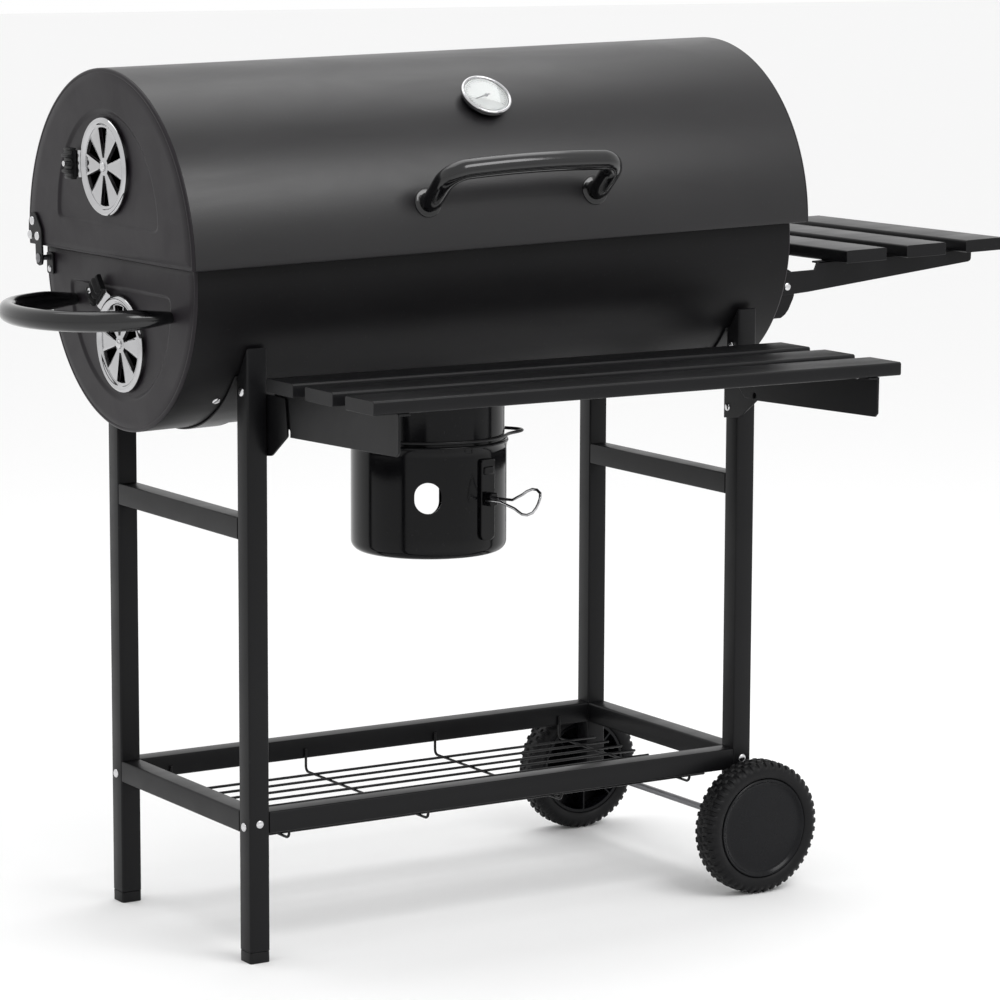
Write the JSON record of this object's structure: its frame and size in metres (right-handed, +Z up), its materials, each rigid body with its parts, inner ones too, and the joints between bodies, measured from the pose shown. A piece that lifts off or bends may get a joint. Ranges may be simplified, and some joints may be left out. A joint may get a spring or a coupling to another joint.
{
  "type": "barrel smoker",
  "caption": "Barrel charcoal smoker on a wheeled cart with a hinged lid, turning vent dampers, an ash bucket, folding slatted shelves and a wire rack.",
  "frame": {"origin": "centre of the whole assembly's box, on the ground under the feet and wheels", "axes": "+X runs along the barrel from the carry handle to the wheels and the side shelf, +Y to the hinges at the back, +Z up"},
  "size_m": [1.192, 0.6348, 0.9693],
  "materials": {
    "powder_black": "semi-gloss black powder coat",
    "barrel_black": "satin black heat-resistant paint",
    "gloss_black": "gloss black enamel",
    "chrome": "polished",
    "zinc_steel": "zinc plated",
    "grate_wire": "chrome-plated wire",
    "black_plastic": "satin moulded",
    "wheel_tread": "moulded tread"
  },
  "bodies": {
    "cart": {"leg_front_left": "powder_black", "leg_back_left": "powder_black", "leg_front_right": "powder_black", "leg_back_right": "powder_black", "foot_front": "black_plastic", "foot_back": "black_plastic", "base_rail_front": "powder_black", "base_rail_back": "powder_black", "base_rail_left": "powder_black", "base_rail_right": "powder_black", "crossbar_left": "powder_black", "crossbar_right": "powder_black", "storage_rack": "gloss_black", "axle": "zinc_steel", "barrel_shell": "barrel_black", "barrel_end_left": "barrel_black", "barrel_end_right": "barrel_black", "cradle_strap_left": "powder_black", "cradle_strap_right": "powder_black", "carry_handle": "gloss_black", "charcoal_grate": "zinc_steel", "cooking_grate": "grate_wire", "grate_ledge_front": "zinc_steel", "grate_ledge_back": "zinc_steel", "ash_collar": "gloss_black", "hinge_plate_barrel_left": "zinc_steel", "hinge_plate_barrel_right": "zinc_steel", "hinge_pin_left": "zinc_steel", "hinge_pin_right": "zinc_steel", "shelf_gusset_left": "powder_black", "shelf_gusset_right": "powder_black", "shelf_mount_front": "powder_black", "shelf_mount_back": "powder_black"},
    "lid": {"lid_shell": "barrel_black", "lid_end_left": "barrel_black", "lid_end_right": "barrel_black", "lid_handle": "gloss_black", "thermometer": "chrome", "hinge_plate_lid_left": "zinc_steel", "hinge_plate_lid_right": "zinc_steel"},
    "lid_damper": {"lid_damper": "chrome", "lid_damper_grip": "black_plastic"},
    "barrel_damper": {"barrel_damper": "chrome", "barrel_damper_grip": "black_plastic"},
    "front_shelf": {"front_slat_front": "powder_black", "front_slat_middle": "powder_black", "front_slat_back": "powder_black", "front_arm_left": "powder_black", "front_arm_right": "powder_black"},
    "side_shelf": {"side_slat_inner": "powder_black", "side_slat_middle": "powder_black", "side_slat_outer": "powder_black", "side_arm_front": "powder_black", "side_arm_back": "powder_black"},
    "front_wheel": {"wheel_tyre_front": "wheel_tread", "wheel_hub_front": "black_plastic"},
    "back_wheel": {"wheel_tyre_back": "wheel_tread", "wheel_hub_back": "black_plastic"},
    "ash_bucket": {"ash_bucket": "gloss_black"},
    "bucket_latch": {"bucket_latch": "chrome"}
  },
  "joints": [
    {"name": "lid_hinge", "type": "hinge", "parent": "cart", "child": "lid", "pos_m": [-0.07481, 0.27555, 0.74551], "axis": [-0.9997, 0, -0.0257], "range_deg": [0, 95]},
    {"name": "lid_damper_turn", "type": "hinge", "parent": "lid", "child": "lid_damper", "pos_m": [-0.4835, 0.11055, 0.84515], "axis": [0.9997, 0, 0.0257], "range_deg": [0, 30]},
    {"name": "barrel_damper_turn", "type": "hinge", "parent": "cart", "child": "barrel_damper", "pos_m": [-0.46662, 0.11055, 0.65513], "axis": [0.9997, 0, 0.0257], "range_deg": [-30, 0]},
    {"name": "front_shelf_fold", "type": "hinge", "parent": "cart", "child": "front_shelf", "pos_m": [-0.07531, -0.07445, 0.595], "axis": [1, 0, 0], "range_deg": [0, 90]},
    {"name": "side_shelf_fold", "type": "hinge", "parent": "cart", "child": "side_shelf", "pos_m": [0.31174, 0.11055, 0.6901], "axis": [0, 1, 0], "range_deg": [0, 90]},
    {"name": "front_wheel_spin", "type": "hinge", "parent": "cart", "child": "front_wheel", "pos_m": [0.24369, -0.07635, 0.077], "axis": [0, 1, 0], "continuous": true},
    {"name": "back_wheel_spin", "type": "hinge", "parent": "cart", "child": "back_wheel", "pos_m": [0.24369, 0.29745, 0.077], "axis": [0, 1, 0], "continuous": true},
    {"name": "ash_bucket_drop", "type": "slide", "parent": "cart", "child": "ash_bucket", "axis": [0, 0, -1], "range_m": [0, 0.16]},
    {"name": "bucket_latch_turn", "type": "hinge", "parent": "ash_bucket", "child": "bucket_latch", "pos_m": [-0.05655, 0.01703, 0.467], "axis": [0.9641, 0.2656, 0], "range_deg": [-70, 75]}
  ]
}
